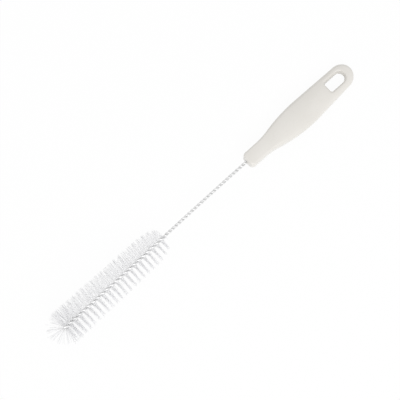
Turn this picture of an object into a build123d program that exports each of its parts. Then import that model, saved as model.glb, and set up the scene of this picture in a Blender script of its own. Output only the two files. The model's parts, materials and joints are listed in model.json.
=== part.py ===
from build123d import *
import os
from math import acos, atan, atan2, cos, degrees, hypot, radians, sin, sqrt

# Lengths in millimetres, run along the brush from the end of the wire's fold
bristle_length = 99.0
bare_stem_length = 82.0
handle_length = 105.0
wire_hold_length = 20.0

# Twisted wire: round wire drawn in six flats, in straight runs of a third of a half turn
wire_diameter = 1.1
strand_sides = 6
stations_per_half_turn = 3
stem_half_turns = 32
grip_clearance = 0.02

# Bristles: each row is one half turn of the spiral, with filaments right across the wire
row_count = 22
filaments_per_row = 20
last_row_filaments = 16
filament_thickness = 0.3
filament_width_share = 0.85
tip_reach = 14.2
reach_station_shares = (0.0, 0.84, 0.9, 1.0)
reach_shares = (1.0, 0.9, 0.83, 0.52)

# Tip tuft: the first filaments, bent forward out of the fold
tuft_count = 10
tuft_lean = 82.0
tuft_clearance = 0.1
tuft_spread = 0.26

# Handle, seen from above and from the side
neck_width = 12.4
belly_width = 21.8
butt_width = 18.4
neck_bow = 0.5
belly_bow = 1.2
neck_thickness = 11.0
belly_thickness = 13.0
neck_share = 0.13
belly_share = 0.53
flare_share = 0.3
crown_share = 1.18
neck_corner_share = 0.26
rim_share = 0.66
level_share = 0.5

# Hanging hole and wire socket
hole_length = 15.4
hole_width = 7.5
butt_wall = 7.3
hole_corner_share = 0.18
hole_draft = 8.0
socket_clearance = 0.03

# Sizes that follow from the ones above
wire_radius = wire_diameter / 2
half_turn = radians(180)
quarter_turn = radians(90)
chord_share = cos(half_turn / stations_per_half_turn / 2)
corner_radius = wire_radius / cos(half_turn / strand_sides)
bristle_offset = (corner_radius + filament_thickness / 2 + grip_clearance) / chord_share
stem_offset = (corner_radius + grip_clearance) / chord_share
row_pitch = bristle_length / row_count
filament_pitch = row_pitch / filaments_per_row
filament_width = filament_pitch * filament_width_share
stem_step = (bare_stem_length + wire_hold_length) / (stem_half_turns * stations_per_half_turn)
bristle_stations = row_count * stations_per_half_turn
last_station = bristle_stations + stem_half_turns * stations_per_half_turn
tuft_root = corner_radius + filament_width + tuft_clearance
handle_start = bristle_length + bare_stem_length
belly_half = belly_thickness / 2
belly_run = handle_length * belly_share
neck_run = handle_length * neck_share
butt_radius = butt_width / 2


# Reach of a row of filaments, read off the table of shares
def row_reach(row):
    share = (row + 0.5) / row_count
    spot = max(i for i in range(len(reach_shares) - 1) if reach_station_shares[i] <= share)
    step = reach_station_shares[spot + 1] - reach_station_shares[spot]
    blend = (share - reach_station_shares[spot]) / step
    return tip_reach * (reach_shares[spot] + blend * (reach_shares[spot + 1] - reach_shares[spot]))


# The brush lies on the floor on its bristles and on the tapered back of its handle
upright_runs = [(row + 0.5) * row_pitch for row in range(row_count)]
belly_x = handle_start + belly_run
lie_slopes = [(row_reach(row) - belly_half) / (belly_x - upright_runs[row]) for row in range(row_count)]
lie_slope = max(lie_slopes)
lie_angle = atan(lie_slope)
tuft_forward = (tip_reach - tuft_root) * sin(radians(tuft_lean))
middle_run = (handle_start + handle_length - tuft_forward) / 2
fold_height = belly_half * cos(lie_angle) + belly_x * sin(lie_angle)
lying = Plane(
    origin=(-middle_run * cos(lie_angle), 0, fold_height),
    x_dir=(cos(lie_angle), 0, -sin(lie_angle)),
    z_dir=(sin(lie_angle), 0, cos(lie_angle)),
)


# A plane drawn on the level brush, carried onto the lying one
def laid(level_plane):
    return Plane(lying * level_plane)


# Direction across the brush at a turn of the spiral
def across(angle):
    return Vector(0, cos(angle), sin(angle))


# Strand centre at a station, closing in from the bristle spacing to the bare stem
def strand_point(station):
    extra = max(station - bristle_stations, 0)
    run = min(station, bristle_stations) * row_pitch / stations_per_half_turn + extra * stem_step
    closed = min(extra / stations_per_half_turn, 1)
    offset = bristle_offset + (stem_offset - bristle_offset) * closed
    angle = station * half_turn / stations_per_half_turn + quarter_turn
    return run, offset * cos(angle), offset * sin(angle)


# Wire: one strand forward to the fold, round it, and the other strand back
os.makedirs("parts", exist_ok=True)
forward_path = [strand_point(station) for station in range(last_station, -1, -1)]
fold_turns = [half_turn * station / stations_per_half_turn for station in range(1, stations_per_half_turn)]
fold_path = [(-bristle_offset * sin(turn), 0, bristle_offset * cos(turn)) for turn in fold_turns]
back_path = [(run, -side, -height) for run, side, height in forward_path[::-1]]
with BuildPart() as twisted_wire:
    with BuildLine(lying) as wire_path:
        Polyline(*forward_path, *fold_path, *back_path)
    with BuildSketch(Plane(origin=wire_path.line @ 0, z_dir=wire_path.line % 0)):
        RegularPolygon(wire_radius, strand_sides, major_radius=False)
    sweep(path=wire_path.line, transition=Transition.RIGHT)
twisted_wire.part.label = "twisted_wire"
export_step(twisted_wire.part, "parts/twisted_wire.step")

# Bristle rows: straight filaments held at their middle between the strands
for row in range(row_count):
    first = tuft_count if row == 0 else 0
    last = last_row_filaments if row == row_count - 1 else filaments_per_row
    numbers = [row * filaments_per_row + step for step in range(first, last)]
    turns = [number * half_turn / filaments_per_row for number in numbers]
    centres = [Vector(number * filament_pitch, 0, 0) for number in numbers]
    spots = range(len(numbers))
    planes = [Plane(origin=centres[i], x_dir=across(turns[i]), z_dir=(1, 0, 0)) for i in spots]
    with BuildPart() as bristle_row:
        with Locations(*[laid(plane) for plane in planes]):
            Box(row_reach(row) * 2, filament_thickness, filament_width)
    node = f"bristle_row_{row + 1:02d}"
    bristle_row.part.label = node
    export_step(bristle_row.part, f"parts/{node}.step")

# Tip tuft: filaments held in the fold, each bent forward on both sides of the wire
with BuildPart() as tip_tuft:
    for number in range(tuft_count):
        lean = radians(tuft_lean) * (1 - number / tuft_count)
        side = across(number * half_turn / filaments_per_row)
        seat = (number * filament_pitch, 0, 0)
        flat = laid(Plane(origin=seat, x_dir=side, z_dir=side.cross(Vector(1, 0, 0))))
        root = tuft_root + number * tuft_spread
        arm_out = root + (tip_reach - root) * cos(lean)
        arm_forward = (root - tip_reach) * sin(lean)
        with BuildLine(flat) as bend:
            Polyline((-arm_out, arm_forward), (-root, 0), (root, 0), (arm_out, arm_forward))
        with BuildSketch(Plane(origin=bend.line @ 0, x_dir=flat.z_dir, z_dir=bend.line % 0)):
            Rectangle(filament_thickness, filament_width)
        sweep(path=bend.line, transition=Transition.RIGHT)
tip_tuft.part.label = "tip_tuft"
export_step(tip_tuft.part, "parts/tip_tuft.step")

# Handle: an outline crowned on both faces, with a bevelled rim and a hole that flares both ways
grip = laid(Plane(origin=(handle_start, 0, 0)))
grip_side = Plane.XY
grip_back = Plane(origin=(0, 0, 0), x_dir=(1, 0, 0), z_dir=(0, 0, -1))
side_view = laid(Plane(origin=(handle_start, 0, 0), x_dir=(1, 0, 0), z_dir=(0, -1, 0)))
under_view = laid(Plane(origin=(handle_start, 0, 0), x_dir=(1, 0, 0), z_dir=(0, 1, 0)))
butt_centre = handle_length - butt_radius
flare_run = belly_run - neck_run
butt_run = butt_centre - belly_run
crown_radius = belly_width * crown_share
crown_depth = crown_radius - belly_half
neck_level = -crown_depth * 2 - neck_thickness / 2
belly_level = -crown_depth * 2 - belly_half
back_run = handle_length + butt_wall
back_level = belly_level + (back_run - belly_run) * lie_slope
butt_half = belly_half - (butt_centre - belly_run) * lie_slope
butt_crown = crown_depth + butt_half
butt_edge_half = sqrt(butt_crown**2 - butt_radius**2) - crown_depth
neck_corner = neck_width * neck_corner_share
rim_bevel = min(butt_edge_half, neck_corner) * rim_share
hole_end = handle_length - butt_wall
hole_start = hole_end - hole_length
hole_round = hole_end - hole_width / 2
stem_radius = stem_offset + corner_radius
with BuildPart() as handle:
    with BuildSketch(grip) as outline:
        # A level neck, a hollow arc, a full arc and a straight taper, all tangent, fuller on one side
        for flank, bow in ((grip_side, -1), (grip_back, 1)):
            neck_side = neck_width / 2 + bow * neck_bow
            belly_side = belly_width / 2 + bow * belly_bow
            flare_rise = belly_side - neck_side
            flare_radii = (flare_run**2 + flare_rise**2) / (flare_rise * 2)
            flare_turn = atan2(flare_run, flare_radii - flare_rise)
            hollow_radius = flare_radii * flare_share
            belly_radius = flare_radii - hollow_radius
            belly_arc_height = belly_side - belly_radius
            arc_gap = hypot(butt_run, belly_arc_height)
            taper = atan2(butt_run, -belly_arc_height) - acos((belly_radius - butt_radius) / arc_gap)
            taper_height = belly_arc_height + belly_radius * cos(taper)
            taper_start = (belly_run + belly_radius * sin(taper), taper_height)
            taper_end = (butt_centre + butt_radius * sin(taper), butt_radius * cos(taper))
            belly_turn = degrees(flare_turn + taper)
            with BuildLine(flank):
                Line((0, 0), (0, neck_side))
                Line((0, neck_side), (neck_run, neck_side))
                CenterArc((neck_run, neck_side + hollow_radius), hollow_radius, -90, degrees(flare_turn))
                CenterArc((belly_run, belly_arc_height), belly_radius, 90 - degrees(taper), belly_turn)
                Line(taper_start, taper_end)
                CenterArc((butt_centre, 0), butt_radius, 0, 90 - degrees(taper))
                Line((handle_length, 0), (0, 0))
            make_face()
        fillet(outline.vertices().group_by(Axis.X)[0], neck_corner)
    extrude(amount=belly_thickness, both=True)
    for view in (side_view, under_view):
        with BuildSketch(view):
            with BuildLine():
                Line((-butt_wall, -crown_depth), (-butt_wall, neck_level))
                Line((-butt_wall, neck_level), (neck_run, neck_level))
                Spline((neck_run, neck_level), (belly_run, belly_level), tangents=((1, 0), (1, lie_slope)))
                Line((belly_run, belly_level), (back_run, back_level))
                Line((back_run, back_level), (back_run, -crown_depth))
                Line((back_run, -crown_depth), (-butt_wall, -crown_depth))
            make_face()
        turning_axis = Axis(view.from_local_coords((0, -crown_depth, 0)), lying.x_dir)
        revolve(axis=turning_axis, mode=Mode.INTERSECT)
    walls = handle.faces().filter_by(lambda face: abs(face.normal_at().dot(grip.z_dir)) < level_share)
    chamfer(walls.edges().filter_by(Axis(grip.origin, grip.z_dir), reverse=True), rim_bevel)
    with BuildSketch(grip) as hole:
        with BuildLine():
            Line((hole_start, hole_width / 2), (hole_round, hole_width / 2))
            CenterArc((hole_round, 0), hole_width / 2, 90, -180)
            Line((hole_round, -hole_width / 2), (hole_start, -hole_width / 2))
            Line((hole_start, -hole_width / 2), (hole_start, hole_width / 2))
        make_face()
        fillet(hole.vertices().group_by(Axis.X)[0], hole_width * hole_corner_share)
    extrude(amount=belly_thickness, both=True, taper=-hole_draft, mode=Mode.SUBTRACT)
    with BuildSketch(laid(Plane(origin=(handle_start, 0, 0), z_dir=(1, 0, 0)))):
        Circle(stem_radius + socket_clearance)
    extrude(amount=wire_hold_length + wire_diameter, mode=Mode.SUBTRACT)
handle.part.label = "handle"
export_step(handle.part, "parts/handle.step")
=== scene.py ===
import json
import bpy
import numpy as np
from mathutils import Matrix, Vector


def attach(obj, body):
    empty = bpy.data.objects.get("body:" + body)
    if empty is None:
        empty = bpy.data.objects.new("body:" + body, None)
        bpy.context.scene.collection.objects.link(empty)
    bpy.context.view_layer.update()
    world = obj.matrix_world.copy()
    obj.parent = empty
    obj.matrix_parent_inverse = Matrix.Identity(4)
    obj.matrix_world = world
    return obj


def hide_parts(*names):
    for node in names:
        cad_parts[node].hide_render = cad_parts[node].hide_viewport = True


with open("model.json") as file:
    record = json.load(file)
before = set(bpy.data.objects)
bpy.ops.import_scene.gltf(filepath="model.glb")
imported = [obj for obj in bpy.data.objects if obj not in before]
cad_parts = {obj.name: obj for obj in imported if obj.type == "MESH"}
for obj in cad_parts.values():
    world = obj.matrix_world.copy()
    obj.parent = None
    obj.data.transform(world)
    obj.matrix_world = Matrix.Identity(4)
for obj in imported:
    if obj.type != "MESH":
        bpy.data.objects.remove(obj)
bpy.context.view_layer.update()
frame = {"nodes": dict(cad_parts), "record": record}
print("frame loaded:", len(frame["nodes"]), "nodes")

# Runs along the brush in metres, measured from the fold of the wire towards the handle
brush = dict(
    bristleRun=0.099,
    stemRun=0.082,
    holdRun=0.020,        # wire hidden inside the handle
    holeRun=0.09395,      # from the handle's neck to the place of its hanging hole in the record
    rowCount=22,          # one row for each half turn
    stemHalfTurns=32,     # from the last row to the hidden end of the wire
    turnLag=0.1,          # share of a half turn by which the spiral starts late
    sway=0.0015,          # the wire is bent this far to the near side at its tip
    swayRun=0.16,         # the bend dies out this far from the tip
    seed=20261128,        # of the small disorder in the filaments
)
rowPitch = brush["bristleRun"] / brush["rowCount"]
handleStart = brush["bristleRun"] + brush["stemRun"]
wireRun = handleStart + brush["holdRun"]
dice = np.random.default_rng(brush["seed"])

# The hanging hole's axis and place in the record give the pose in which the brush lies
hole = next(mount for mount in frame["record"]["mounts"] if mount["name"] == "hanging_hole")
upDir = np.array(hole["axis"]) / np.linalg.norm(hole["axis"])
alongDir = np.array([upDir[2], 0.0, -upDir[0]])
sideDir = np.array([0.0, 1.0, 0.0])
lieSlope = upDir[0] / upDir[2]
foldPoint = np.array(hole["pos_m"]) - alongDir * (handleStart + brush["holeRun"])
quarter = np.pi / 2


# Unit vectors: each row over its own length
def unit(vectors):
    return vectors / np.linalg.norm(vectors, axis=-1, keepdims=True)


# Smooth step: 3t squared less 2t cubed, held at both ends
def smooth(t):
    t = np.clip(t, 0, 1)
    return t * t * (3 - 2 * t)


# Even steps from one value to another, without the first
def stepsTo(first, last, count):
    return np.linspace(first, last, count + 1)[1:]


# Length walked from the start of a line to each of its points: the steps added up
def walkedAlong(line):
    return np.concatenate([[0], np.cumsum(np.linalg.norm(np.diff(line, axis=0), axis=1))])


# Brush coordinates on the axis of the brush, at the given runs
def onAxis(runs):
    return np.outer(runs, [1, 0, 0])


# Brush coordinates to the frame: so much along, sideways and up from the fold, less the sway of the wire
def toFrame(points):
    along, aside, up = points[..., :1], points[..., 1:2], points[..., 2:]
    swayed = aside - brush["sway"] * smooth(1 - along / brush["swayRun"])
    return foldPoint + along * alongDir + swayed * sideDir + up * upDir


# Corner numbers of the quads of a grid, which may close on itself either way
def gridQuads(rows, cols, closeRows, closeCols):
    i = np.arange(rows if closeRows else rows - 1)[:, None]
    j = np.arange(cols if closeCols else cols - 1)[None, :]
    nextRow = (i + 1) % rows
    nextCol = (j + 1) % cols
    corners = [i * cols + j, i * cols + nextCol, nextRow * cols + nextCol, nextRow * cols + j]
    return np.stack(np.broadcast_arrays(*corners), axis=-1).reshape(-1, 4)


# Faces of a tube of rings: its quads, and its two ends with a corner for each side
def tubeFaces(stations, sides):
    corners = np.arange(sides)
    ends = [corners[::-1], (stations - 1) * sides + corners]
    return gridQuads(stations, sides, False, True), ends


# Rings of a tube: each point of the line plus cosine and sine of the turn along two ways across it
def tubeRings(lines, tangents, asides, radius, sides):
    turn = np.linspace(0, 2 * np.pi, sides, endpoint=False)[:, None]
    others = np.cross(tangents, asides)
    circles = asides[..., None, :] * np.cos(turn) + others[..., None, :] * np.sin(turn)
    return lines[..., None, :] + circles * radius


# A mesh object from whole arrays: points, quads and the many-sided ends of tubes
def addPiece(name, points, quads, ends=()):
    mesh = bpy.data.meshes.new(name)
    corners = np.concatenate([quads.ravel(), *ends]).astype(np.int32)
    sizes = np.array([quads.shape[1]] * len(quads) + [len(end) for end in ends])
    starts = (np.cumsum(sizes) - sizes).astype(np.int32)
    mesh.vertices.add(len(points))
    mesh.vertices.foreach_set("co", points.astype(np.float32).ravel())
    mesh.loops.add(len(corners))
    mesh.loops.foreach_set("vertex_index", corners)
    mesh.polygons.add(len(sizes))
    mesh.polygons.foreach_set("loop_start", starts)
    mesh.update(calc_edges=True)
    mesh.shade_smooth()
    piece = bpy.data.objects.new(name, mesh)
    bpy.context.scene.collection.objects.link(piece)
    return piece


# A number for each point of a piece, which its finish reads by name
def addAttribute(piece, name, values):
    layer = piece.data.attributes.new(name, "FLOAT", "POINT")
    layer.data.foreach_set("value", values.astype(np.float32))


# A material with an empty node tree
def newFinish(name):
    material = bpy.data.materials.new(name)
    material.use_nodes = True
    material.node_tree.nodes.clear()
    return material, material.node_tree


# A node with its settings, and its sockets set by name or number
def addNode(tree, kind, values=(), **settings):
    node = tree.nodes.new(kind)
    for key, value in settings.items():
        setattr(node, key, value)
    for socket, value in dict(values).items():
        node.inputs[socket].default_value = value
    return node


# The standard curve between a colour as an image shows it and the linear one that a shader takes
seenCurve = dict(full=255, knee=0.04045, slope=12.92, foot=0.055, power=2.4)


# Seen colour, 0 to 255, to linear: straight up to the knee and a power above it
def seen(red, green, blue):
    share = np.array([red, green, blue]) / seenCurve["full"]
    foot = seenCurve["foot"]
    curved = ((share + foot) / (1 + foot)) ** seenCurve["power"]
    linear = np.where(share <= seenCurve["knee"], share / seenCurve["slope"], curved)
    return (*linear.tolist(), 1.0)


# Noise of the given scale and detail over a pattern's own coordinates
def addNoise(tree, vector, scale, detail):
    noise = addNode(tree, "ShaderNodeTexNoise", {"Scale": scale, "Detail": detail})
    tree.links.new(vector, noise.inputs["Vector"])
    return noise.outputs["Fac"]


# A colour between two seen ones, as a share goes from start to stop
def addTone(tree, share, low, high, start=0.3, stop=0.7):
    ramp = addNode(tree, "ShaderNodeValToRGB")
    ramp.color_ramp.elements[0].position = start
    ramp.color_ramp.elements[1].position = stop
    ramp.color_ramp.elements[0].color = seen(*low)
    ramp.color_ramp.elements[1].color = seen(*high)
    tree.links.new(share, ramp.inputs["Fac"])
    return ramp.outputs["Color"]


# A number between two values, as a share goes from nought to one
def addRange(tree, share, low, high):
    span = addNode(tree, "ShaderNodeMapRange", {"To Min": low, "To Max": high})
    tree.links.new(share, span.inputs["Value"])
    return span.outputs["Result"]


# A bump from a pattern taken as height, with its depth in metres
def addBump(tree, height, strength, depth):
    bump = addNode(tree, "ShaderNodeBump", {"Strength": strength, "Distance": depth})
    tree.links.new(height, bump.inputs["Height"])
    return bump.outputs["Normal"]


# The surface: what is the same all over is set on its sockets, and what differs is linked to them
def addSurface(tree, fixed, linked):
    shader = addNode(tree, "ShaderNodeBsdfPrincipled", fixed)
    for socket, source in linked.items():
        tree.links.new(source, shader.inputs[socket])
    output = addNode(tree, "ShaderNodeOutputMaterial")
    tree.links.new(shader.outputs["BSDF"], output.inputs["Surface"])


# Off-white moulded plastic: scales are per metre
plastic = dict(
    cloudLow=(226, 223, 217),
    cloudHigh=(231, 228, 223),
    cloudScale=55.0,
    cloudDetail=3.0,
    grainScale=1400.0,
    grainDetail=2.0,
    grainStrength=0.06,
    grainDepth=0.0002,
    roughLow=0.22,
    roughHigh=0.34,
    refraction=1.47,
    gloss=0.5,
)


# Plastic: cloudy tone, fine grain in the bump, and a satin sheen that wanders with the clouds
def makePlastic():
    material, tree = newFinish("moulded_plastic")
    place = addNode(tree, "ShaderNodeTexCoord").outputs["Object"]
    clouds = addNoise(tree, place, plastic["cloudScale"], plastic["cloudDetail"])
    grain = addNoise(tree, place, plastic["grainScale"], plastic["grainDetail"])
    addSurface(tree, {"IOR": plastic["refraction"], "Specular IOR Level": plastic["gloss"]}, {
        "Base Color": addTone(tree, clouds, plastic["cloudLow"], plastic["cloudHigh"]),
        "Roughness": addRange(tree, clouds, plastic["roughLow"], plastic["roughHigh"]),
        "Normal": addBump(tree, grain, plastic["grainStrength"], plastic["grainDepth"]),
    })
    return material


# Drawn steel wire; its tones are painted lighter than the stem's, to offset the shade that the wire gets
# among the bristles
steel = dict(
    darkLine=(234, 234, 234),
    brightLine=(246, 246, 246),
    stemDimming=(239, 239, 239),
    linesAround=26.0,
    linesAlong=40.0,      # per metre, so each line is long
    lineDetail=4.0,
    lineStrength=0.1,
    lineDepth=0.00005,
    roughLow=0.38,
    roughHigh=0.55,
    metallic=0.85,
)
mixSockets = dict(first=6, second=7, mixed=2)  # a Mix node numbers its colours so


# Steel: fine lines along the wire, read from its own map of length and turn; the wire is painted lighter
# among the bristles to offset their shade, and the stem dimming takes that painted light back off on the
# bare stem
def makeSteel():
    material, tree = newFinish("drawn_steel")
    wireMap = addNode(tree, "ShaderNodeUVMap", uv_map="lengthAndTurn")
    lineScale = (steel["linesAlong"], steel["linesAround"], 1.0)
    stretch = addNode(tree, "ShaderNodeMapping", {"Scale": lineScale})
    tree.links.new(wireMap.outputs["UV"], stretch.inputs["Vector"])
    lines = addNoise(tree, stretch.outputs["Vector"], scale=1.0, detail=steel["lineDetail"])
    bareness = addNode(tree, "ShaderNodeAttribute", attribute_name="bareness")
    # Painted light: the tone is lighter than the stem's so that the wire among the bristles offsets their
    # shade; on the bare stem it is multiplied down again
    liftedTone = addNode(tree, "ShaderNodeMix", data_type="RGBA", blend_type="MULTIPLY")
    liftedTone.inputs[mixSockets["second"]].default_value = seen(*steel["stemDimming"])
    tone = addTone(tree, lines, steel["darkLine"], steel["brightLine"])
    tree.links.new(bareness.outputs["Fac"], liftedTone.inputs["Factor"])
    tree.links.new(tone, liftedTone.inputs[mixSockets["first"]])
    addSurface(tree, {"Metallic": steel["metallic"]}, {
        "Base Color": liftedTone.outputs[mixSockets["mixed"]],
        "Roughness": addRange(tree, lines, steel["roughLow"], steel["roughHigh"]),
        "Normal": addBump(tree, lines, steel["lineStrength"], steel["lineDepth"]),
    })
    return material


# White nylon filament: the tones hold a random tone for each filament and painted light, lighter at the
# roots by the wire and darker at the ends
nylon = dict(
    darkest=(227, 227, 231),
    brightest=(255, 255, 255),
    roughLow=0.28,
    roughHigh=0.45,
    refraction=1.53,
)


# Nylon: each filament has its own tone and gloss, mixed with painted light that is lighter near the wire
# and darker towards its ends, to offset the shade in the dense roots
def makeNylon():
    material, tree = newFinish("nylon_filament")
    toneBlend = addNode(tree, "ShaderNodeAttribute", attribute_name="filamentToneAndLight").outputs["Fac"]
    addSurface(tree, {"IOR": nylon["refraction"]}, {
        "Base Color": addTone(tree, toneBlend, nylon["darkest"], nylon["brightest"], start=0.0, stop=1.0),
        "Roughness": addRange(tree, toneBlend, nylon["roughLow"], nylon["roughHigh"]),
    })
    return material


plasticFinish = makePlastic()
steelFinish = makeSteel()
nylonFinish = makeNylon()
print("finishes made: plastic, steel, nylon")

# Handle sizes in metres, seen from above and from the side
handle = dict(
    length=0.105,
    neckWidth=0.0118,
    bellyWidth=0.0218,
    buttWidth=0.0184,
    neckBow=0.00065,      # the grip is fuller on its near side by this much
    bellyBow=0.0012,
    hollowShare=0.3,      # share of the flare that is hollow, next to the neck
    neckThick=0.011,
    bellyThick=0.013,
    neckShare=0.13,       # shares of the length at which the neck ends and the belly is widest
    bellyShare=0.53,
    crownRadius=0.02572,
    neckCorner=0.0032,
    neckRim=0.0015,       # rim radius where the neck is crisp
    bellyRim=0.0024,
    holeLength=0.0154,
    holeWidth=0.0081,
    buttWall=0.0073,
    holeCorner=0.00135,
    holeRim=0.0018,
    holeDraft=0.2,        # sideways run of the hole's wall for each unit of height
    facingOutline=(0.0, 0.12, 0.46, 0.95, 1.0),  # shares of the half outline, from butt to neck,
    facingHole=(0.0, 0.28, 0.72, 0.97, 1.0),     # and the shares of the half hole that they face
    around=320,
    arcPoints=200,
    wallSteps=4,
    lipSteps=5,
    faceSteps=25,
    rimSteps=7,
    sideSteps=3,
)
neckRun = handle["length"] * handle["neckShare"]
bellyRun = handle["length"] * handle["bellyShare"]
flareRun = bellyRun - neckRun
buttRadius = handle["buttWidth"] / 2
crownDepth = handle["crownRadius"] - handle["bellyThick"] / 2


# Arc: the centre plus the radius times cosine and sine, between two angles
def arc(centre, radius, first, last):
    turn = np.linspace(first, last, handle["arcPoints"])
    return np.stack([centre[0] + radius * np.cos(turn), centre[1] + radius * np.sin(turn)], axis=1)


# Half an outline at the given shares of the length walked along it
def walkedHalf(half, shares):
    walked = walkedAlong(half)
    spots = shares * walked[-1]
    return np.stack([np.interp(spots, walked, half[:, 0]), np.interp(spots, walked, half[:, 1])], axis=1)


# Closed outline: the far half from butt to neck, then the near half mirrored and walked back
def closedOutline(farHalf, nearHalf, shares):
    far = walkedHalf(farHalf, shares)
    near = walkedHalf(nearHalf, shares)[-2:0:-1] * [1, -1]
    return np.concatenate([far, near])


# Outward normals of a closed outline: its tangent turned clockwise by a right angle
def outlineNormals(outline):
    tangent = unit(np.roll(outline, -1, axis=0) - np.roll(outline, 1, axis=0))
    return np.stack([tangent[:, 1], -tangent[:, 0]], axis=1)


# Half thickness along the handle: level neck, one smooth swell, then a straight taper to the butt
def halfThickness(run):
    neckHalf = handle["neckThick"] / 2
    bellyHalf = handle["bellyThick"] / 2
    t = np.clip((run - neckRun) / flareRun, 0, 1)
    lean = -lieSlope * flareRun * (t ** 3 - t ** 2)
    swell = neckHalf + (bellyHalf - neckHalf) * smooth(t) + lean
    return np.where(run > bellyRun, bellyHalf - lieSlope * (run - bellyRun), swell)


# Height of the crowned face: a circle across the handle, about an axis well below it
def faceHeight(flat):
    crown = crownDepth + halfThickness(flat[..., 0])
    return np.sqrt(crown ** 2 - flat[..., 1] ** 2) - crownDepth


# Half outline of the handle: butt arc, straight taper, full arc, hollow arc, level neck and corner
def flankOutline(fullness):
    neckSide = handle["neckWidth"] / 2 + fullness * handle["neckBow"]
    bellySide = handle["bellyWidth"] / 2 + fullness * handle["bellyBow"]
    # The full and the hollow arc meet with one tangent, so their radii add up to this
    flareRise = bellySide - neckSide
    flareRadii = (flareRun ** 2 + flareRise ** 2) / (2 * flareRise)
    flareTurn = np.arctan2(flareRun, flareRadii - flareRise)
    hollowRadius = flareRadii * handle["hollowShare"]
    bellyRadius = flareRadii - hollowRadius
    # The taper touches the butt's arc and the full arc
    buttCentre = handle["length"] - buttRadius
    bellyCentre = bellySide - bellyRadius
    arcGap = np.hypot(buttCentre - bellyRun, bellyCentre)
    taper = np.arctan2(buttCentre - bellyRun, -bellyCentre) - np.arccos((bellyRadius - buttRadius) / arcGap)
    corner = handle["neckCorner"]
    return np.concatenate([
        arc((buttCentre, 0), buttRadius, 0, quarter - taper),
        arc((bellyRun, bellyCentre), bellyRadius, quarter - taper, quarter + flareTurn),
        arc((neckRun, neckSide + hollowRadius), hollowRadius, flareTurn - quarter, -quarter),
        arc((corner, neckSide - corner), corner, quarter, 2 * quarter),
        [[0, 0]],
    ])


# Half outline of the hanging hole at its waist: a round end at the butt, and a flat end with small corners
def holeOutline():
    end = handle["length"] - handle["buttWall"]
    start = end - handle["holeLength"]
    side = handle["holeWidth"] / 2
    corner = handle["holeCorner"]
    return np.concatenate([
        arc((end - side, 0), side, 0, quarter),
        arc((start + corner, side - corner), corner, quarter, 2 * quarter),
        [[start, 0]],
    ])


# Handle: rings from the waist of the hole, over its lip, the face and the outer rim, to the waist outside
def makeHandle():
    shares = np.linspace(0, 1, handle["around"] // 2 + 1)
    outline = closedOutline(flankOutline(-1), flankOutline(1), shares)
    outward = outlineNormals(outline)
    rimGrowth = smooth((outline[:, 0] - neckRun) / flareRun)
    rim = handle["neckRim"] + (handle["bellyRim"] - handle["neckRim"]) * rimGrowth

    # The butt faces the hole's round end, and the long sides face its sides and flat end
    holeShares = np.interp(shares, handle["facingOutline"], handle["facingHole"])
    waist = closedOutline(holeOutline(), holeOutline(), holeShares)
    intoWall = outlineNormals(waist)
    holeRim = handle["holeRim"]
    wallTop = faceHeight(waist) - holeRim
    flare = wallTop * handle["holeDraft"]

    # Each band is a set of flat positions and heights: one row for each ring
    rise = np.linspace(0, 1, handle["wallSteps"] + 1)[:, None]
    wall = waist + intoWall * (rise * flare)[..., None]
    wallHeights = rise * wallTop
    lipTurn = stepsTo(0, quarter, handle["lipSteps"])[:, None]
    lip = waist + intoWall * (flare + holeRim * (1 - np.cos(lipTurn)))[..., None]
    lipHeights = faceHeight(lip) - holeRim * (1 - np.sin(lipTurn))
    inner = lip[-1]
    outer = outline - outward * rim[:, None]
    spread = stepsTo(0, 1, handle["faceSteps"])[:, None, None]
    face = inner + (outer - inner) * spread
    faceHeights = faceHeight(face)
    rimTurn = stepsTo(0, quarter, handle["rimSteps"])[:, None]
    edge = outline - outward * (rim * (1 - np.sin(rimTurn)))[..., None]
    edgeHeights = faceHeight(edge) - rim * (1 - np.cos(rimTurn))
    drop = stepsTo(1, 0, handle["sideSteps"])[:, None]
    side = np.broadcast_to(outline, (len(drop), *outline.shape))
    sideHeights = edgeHeights[-1] * drop

    # The lower half mirrors the upper one, and the rings close on themselves both ways
    flat = np.concatenate([wall, lip, face, edge, side])
    heights = np.concatenate([wallHeights, lipHeights, faceHeights, edgeHeights, sideHeights])
    upper = np.concatenate([flat, heights[..., None]], axis=-1)
    lower = upper[-2:0:-1] * [1, 1, -1]
    rings = np.concatenate([upper, lower]) + [handleStart, 0, 0]
    quads = gridQuads(rings.shape[0], rings.shape[1], True, True)[:, ::-1]
    return addPiece("grip_handle", toFrame(rings).reshape(-1, 3), quads)


handlePiece = makeHandle()
handlePiece.data.materials.append(plasticFinish)
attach(handlePiece, "root")
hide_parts("handle")
print("handle made:", len(handlePiece.data.polygons), "faces")

# Twisted wire in metres: two strands of one wire, which pinch the filaments between them
wire = dict(
    radius=0.00064,
    bristleOffset=0.00065,  # from the brush's axis to a strand's, among the bristles
    stemOffset=0.00058,     # the same where the bare stem is twisted tight
    stepsPerHalfTurn=12,
    foldSteps=10,
    sides=10,
)


# Turn of the spiral along the brush: a half turn for each row, then the closer turns of the bare stem
def spiralTurn(run):
    stemPitch = (wireRun - brush["bristleRun"]) / brush["stemHalfTurns"]
    bare = np.maximum(run - brush["bristleRun"], 0)
    return np.pi * (np.minimum(run, brush["bristleRun"]) / rowPitch + bare / stemPitch - brush["turnLag"])


# The wire's own map: metres along it, and a share that goes from one to nought and back round it
def addWireMap(piece, path):
    corner = np.zeros(len(piece.data.loops), np.int32)
    piece.data.loops.foreach_get("vertex_index", corner)
    station, side = np.divmod(corner, wire["sides"])
    share = np.abs(side / wire["sides"] * 2 - 1)
    spots = np.stack([walkedAlong(path)[station], share], axis=1)
    layer = piece.data.uv_layers.new(name="lengthAndTurn")
    layer.data.foreach_set("uv", spots.astype(np.float32).ravel())


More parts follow.
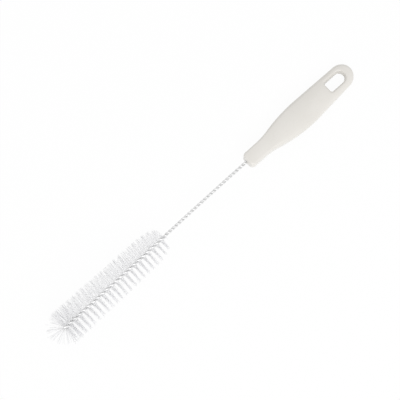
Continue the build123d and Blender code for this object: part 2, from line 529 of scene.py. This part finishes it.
# Wire: a circle carried up one strand's helix, round the fold and back down the other strand
def makeWire():
    bristleSteps = brush["rowCount"] * wire["stepsPerHalfTurn"]
    stemSteps = brush["stemHalfTurns"] * wire["stepsPerHalfTurn"]
    ahead = np.concatenate([
        np.linspace(0, brush["bristleRun"], bristleSteps + 1),
        stepsTo(brush["bristleRun"], wireRun, stemSteps),
    ])
    rowsPast = (ahead - brush["bristleRun"]) / rowPitch
    offset = wire["bristleOffset"] + (wire["stemOffset"] - wire["bristleOffset"]) * smooth(rowsPast)
    angle = spiralTurn(ahead) + quarter
    radial = np.stack([np.zeros(len(ahead)), np.cos(angle), np.sin(angle)], axis=1)
    strand = onAxis(ahead) + radial * offset[:, None]

    # The fold is half a circle at the tip, and the other strand is the first one turned half round
    bend = np.linspace(0, np.pi, wire["foldSteps"] + 1)[1:-1]
    foldRadial = np.outer(np.cos(bend), radial[0]) - onAxis(np.sin(bend))
    flip = np.array([1, -1, -1])
    path = np.concatenate([strand[::-1], foldRadial * wire["bristleOffset"], strand * flip])
    outward = np.concatenate([radial[::-1], foldRadial, radial * flip])
    tangent = unit(np.gradient(path, axis=0))
    outward = unit(outward - tangent * np.sum(outward * tangent, axis=1, keepdims=True))
    rings = tubeRings(path, tangent, outward, wire["radius"], wire["sides"])
    quads, ends = tubeFaces(len(path), wire["sides"])
    piece = addPiece("wire_stem", toFrame(rings).reshape(-1, 3), quads, ends)
    addWireMap(piece, path)

    # Bareness: none among the bristles, growing over their last row to full on the stem, where it takes off
    # the wire's painted light
    baring = smooth(rowsPast + 1)
    bareness = np.concatenate([baring[::-1], np.zeros(len(bend)), baring])
    addAttribute(piece, "bareness", np.repeat(bareness, wire["sides"]))
    return piece


wirePiece = makeWire()
wirePiece.data.materials.append(steelFinish)
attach(wirePiece, "root")
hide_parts("twisted_wire")
print("wire made:", len(wirePiece.data.polygons), "faces")

# Bristles: fine filaments in metres and radians, with the small disorder of a real brush
bristle = dict(
    perRow=50,
    radius=0.00004,
    tipCrowd=0.8,         # extra share of filaments, and of lean, in the first row
    crowdRows=4.0,        # rows over which that extra dies out
    reach=0.0142,
    reachStations=(0.0, 0.84, 0.9, 1.0),  # shares of the bristles' run,
    reachShares=(1.0, 0.9, 0.83, 0.52),   # and of the full reach there
    lastShare=0.8,        # share of the last row that is filled
    shortest=0.95,
    fan=0.08,             # stray turn round the wire
    lean=0.085,           # most stray lean along the wire, either way
    bow=0.02,             # stray bow at the ends, as a share of the reach
    toneBlend=0.35,         # share of the tone that differs from one filament to the next
    sides=4,
    sideGuide=(1.0, 0.3, 0.2),            # a way across most filaments, to set their sides by
)
stationShares = np.array([-1.0, -0.66, -0.33, 0.0, 0.33, 0.66, 1.0])  # along a filament, from end to end


# Filaments: a small square profile carried along bowed lines that lie no lower than the floor
def makeFilaments(name, lines, radius, tones):
    count, stations = lines.shape[:2]
    lines = toFrame(lines)
    lines[..., 2] = np.maximum(lines[..., 2], radius)
    tangents = unit(np.gradient(lines, axis=1))
    asides = unit(np.cross(tangents, np.broadcast_to(bristle["sideGuide"], tangents.shape)))
    rings = tubeRings(lines, tangents, asides, radius, bristle["sides"])
    quads, ends = tubeFaces(stations, bristle["sides"])
    faces = np.concatenate([quads, ends])
    firstCorners = np.arange(count)[:, None, None] * stations * bristle["sides"]
    piece = addPiece(name, rings.reshape(-1, 3), (faces + firstCorners).reshape(-1, 4))
    # Painted light: lighter at the middle of each filament, where it is pinched at the wire, and darker at
    # its ends, to offset the shade of the dense roots
    rootLight = 1 - np.abs(stationShares)
    toneWithLight = bristle["toneBlend"] * tones[:, None] + (1 - bristle["toneBlend"]) * rootLight
    addAttribute(piece, "filamentToneAndLight", np.repeat(toneWithLight.ravel(), bristle["sides"]))
    piece.data.materials.append(nylonFinish)
    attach(piece, "root")
    return piece


# Bowed lines: the middle, plus the reach along each arm, plus a bow that grows as the square
def bowedLines(runs, armsBack, armsAhead, reaches, bows):
    t = stationShares[None, :, None]
    arms = np.where(t < 0, armsBack[:, None], armsAhead[:, None])
    return onAxis(runs)[:, None] + reaches[:, None, None] * (np.abs(t) * arms + t ** 2 * bows[:, None])


# Direction across the wire at a turn, leaning a little along it
def acrossWire(turn, lean):
    return np.stack([np.sin(lean), np.cos(lean) * np.cos(turn), np.cos(lean) * np.sin(turn)], axis=1)


# One row: filaments at even steps of half a turn, each pinched at its middle, with two stray arms
def makeRow(row):
    filled = bristle["lastShare"] if row == brush["rowCount"] - 1 else 1.0
    crowd = 1 + bristle["tipCrowd"] * smooth(1 - row / bristle["crowdRows"])
    shares = np.arange(0, filled, 1 / (bristle["perRow"] * crowd))
    count = len(shares)
    runs = (row + shares) * rowPitch
    turns = spiralTurn(runs)
    strayTurns = dice.normal(0, bristle["fan"], (2, count))
    strayLeans = dice.uniform(-1, 1, (2, count)) * bristle["lean"] * crowd
    ahead = acrossWire(turns + strayTurns[0], strayLeans[0])
    back = -acrossWire(turns + strayTurns[1], strayLeans[1])
    fullness = np.interp(runs / brush["bristleRun"], bristle["reachStations"], bristle["reachShares"])
    reaches = bristle["reach"] * fullness * dice.uniform(bristle["shortest"], 1.0, count)
    bows = dice.normal(0, bristle["bow"], (count, 3))
    lines = bowedLines(runs, back, ahead, reaches, bows)
    node = f"bristle_row_{row + 1:02d}"
    piece = makeFilaments(node + "_filaments", lines, bristle["radius"], dice.uniform(0, 1, count))
    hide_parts(node)


for row in range(brush["rowCount"]):
    makeRow(row)
print("bristle rows made:", brush["rowCount"])

# Tip tuft: the first filaments, held in the fold and splayed forward past it
tuft = dict(
    count=34,
    radius=0.000065,
    gather=1.5,           # power that gathers the filaments towards straight across
    mostLean=1.5,         # radians forward of straight across, for the foremost filament
    fan=0.7,              # stray turn round the wire
    stray=0.1,            # stray lean
    shortest=0.86,
    bow=0.03,
    rootSpread=0.3,       # share of a row's pitch that the roots take up
)


# Tuft: both arms of each filament lean forward, the foremost ones most
def makeTuft():
    count = tuft["count"]
    shares = np.arange(count) / count
    runs = shares * tuft["rootSpread"] * rowPitch
    forward = tuft["mostLean"] * (1 - shares) ** tuft["gather"]
    leans = dice.normal(0, tuft["stray"], (2, count)) - forward
    turns = dice.normal(0, tuft["fan"], (2, count))
    ahead = acrossWire(turns[0], leans[0])
    back = acrossWire(turns[1] + np.pi, leans[1])
    reaches = bristle["reach"] * dice.uniform(tuft["shortest"], 1.0, count)
    bows = dice.normal(0, tuft["bow"], (count, 3))
    lines = bowedLines(runs, back, ahead, reaches, bows)
    return makeFilaments("tip_filaments", lines, tuft["radius"], dice.uniform(0, 1, count))


tuftPiece = makeTuft()
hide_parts("tip_tuft")
print("tip tuft made:", tuft["count"], "filaments")


# Backdrop rays: one for those from the camera, a gloss or clear stuff, and nought for the rest
def backdropRays(tree):
    paths = addNode(tree, "ShaderNodeLightPath")
    either = addNode(tree, "ShaderNodeMath", operation="ADD")
    anyOf = addNode(tree, "ShaderNodeMath", operation="ADD", use_clamp=True)
    tree.links.new(paths.outputs["Is Camera Ray"], either.inputs[0])
    tree.links.new(paths.outputs["Is Glossy Ray"], either.inputs[1])
    tree.links.new(either.outputs["Value"], anyOf.inputs[0])
    tree.links.new(paths.outputs["Is Transmission Ray"], anyOf.inputs[1])
    return anyOf.outputs["Value"]


# Floor: a pale sheet, in metres
floor = dict(half=3.0, points=3, colour=(250, 250, 250), lift=0.95, white=1.0)


# Floor paper: lifted most of the way to white for backdrop rays, and it keeps a soft shadow
def makeFloorPaper():
    material, tree = newFinish("floor_paper")
    lift = addNode(tree, "ShaderNodeMath", {1: floor["lift"]}, operation="MULTIPLY")
    paper = addNode(tree, "ShaderNodeBsdfDiffuse", {"Color": seen(*floor["colour"])})
    white = addNode(tree, "ShaderNodeEmission", {"Strength": floor["white"]})
    lifted = addNode(tree, "ShaderNodeMixShader")
    output = addNode(tree, "ShaderNodeOutputMaterial")
    tree.links.new(backdropRays(tree), lift.inputs[0])
    tree.links.new(lift.outputs["Value"], lifted.inputs["Fac"])
    tree.links.new(paper.outputs["BSDF"], lifted.inputs[1])
    tree.links.new(white.outputs["Emission"], lifted.inputs[2])
    tree.links.new(lifted.outputs["Shader"], output.inputs["Surface"])
    return material


# Floor: a flat square grid at no height
def makeFloor():
    spots = np.linspace(-floor["half"], floor["half"], floor["points"])
    x, y = np.meshgrid(spots, spots)
    points = np.stack([x, y, np.zeros_like(x)], axis=-1).reshape(-1, 3)
    return addPiece("studio_floor", points, gridQuads(floor["points"], floor["points"], False, False))


floorPiece = makeFloor()
floorPiece.data.materials.append(makeFloorPaper())

# Soft studio light: an even room and one broad lamp at the bristles' near side
studio = dict(
    roomColour=(255, 255, 255),
    roomLight=0.74,       # what the room gives to the brush
    roomSeen=1.0,         # what is seen of it
    keyPlace=(-0.25, -0.9, 1.1),
    keyTarget=(0.0, 0.0, 0.0),
    keyTop=(1.0, 0.0, 0.0),
    keySize=0.9,
    keyPower=7.5,
)


# Room: one even colour all round
def makeRoom():
    world = bpy.data.worlds.new("studio_room")
    world.use_nodes = True
    tree = world.node_tree
    tree.nodes.clear()
    level = addRange(tree, backdropRays(tree), studio["roomLight"], studio["roomSeen"])
    room = addNode(tree, "ShaderNodeBackground", {"Color": seen(*studio["roomColour"])})
    output = addNode(tree, "ShaderNodeOutputWorld")
    tree.links.new(level, room.inputs["Strength"])
    tree.links.new(room.outputs["Background"], output.inputs["Surface"])
    return world


# Axes of something that looks from one place to another, with its top towards the given way up
def lookAt(place, target, wayUp):
    behind = (place - target).normalized()
    right = wayUp.cross(behind).normalized()
    return Matrix.Translation(place) @ Matrix((right, behind.cross(right), behind)).transposed().to_4x4()


bpy.context.scene.world = makeRoom()
keyData = bpy.data.lights.new("key_lamp", "AREA")
keyData.energy = studio["keyPower"]
keyData.size = studio["keySize"]
keyLamp = bpy.data.objects.new("key_lamp", keyData)
keyPlace = Vector(studio["keyPlace"])
keyLamp.matrix_world = lookAt(keyPlace, Vector(studio["keyTarget"]), Vector(studio["keyTop"]))
bpy.context.scene.collection.objects.link(keyLamp)

# Camera: nearly overhead, towards the tip and the near side, with the brush from lower left to upper right
view = dict(
    target=(-0.0002, 0.0019, 0.0106),
    distance=1.8,
    elevation=79.5,       # degrees
    bearing=227.3,
    top=(0.0, 0.0, 1.0),
    lens=221.4,           # millimetres
    sensor=36.0,
    clipStart=0.05,
)
rise = np.radians(view["elevation"])
bearing = np.radians(view["bearing"])
away = Vector((np.cos(rise) * np.cos(bearing), np.cos(rise) * np.sin(bearing), np.sin(rise)))
target = Vector(view["target"])
cameraData = bpy.data.cameras.new("photo_camera")
cameraData.lens = view["lens"]
cameraData.sensor_width = view["sensor"]
cameraData.clip_start = view["clipStart"]
camera = bpy.data.objects.new("photo_camera", cameraData)
camera.matrix_world = lookAt(target + away * view["distance"], target, Vector(view["top"]))
bpy.context.scene.collection.objects.link(camera)
bpy.context.scene.camera = camera
bpy.context.scene.view_settings.view_transform = "Standard"
print("floor, light and camera set")
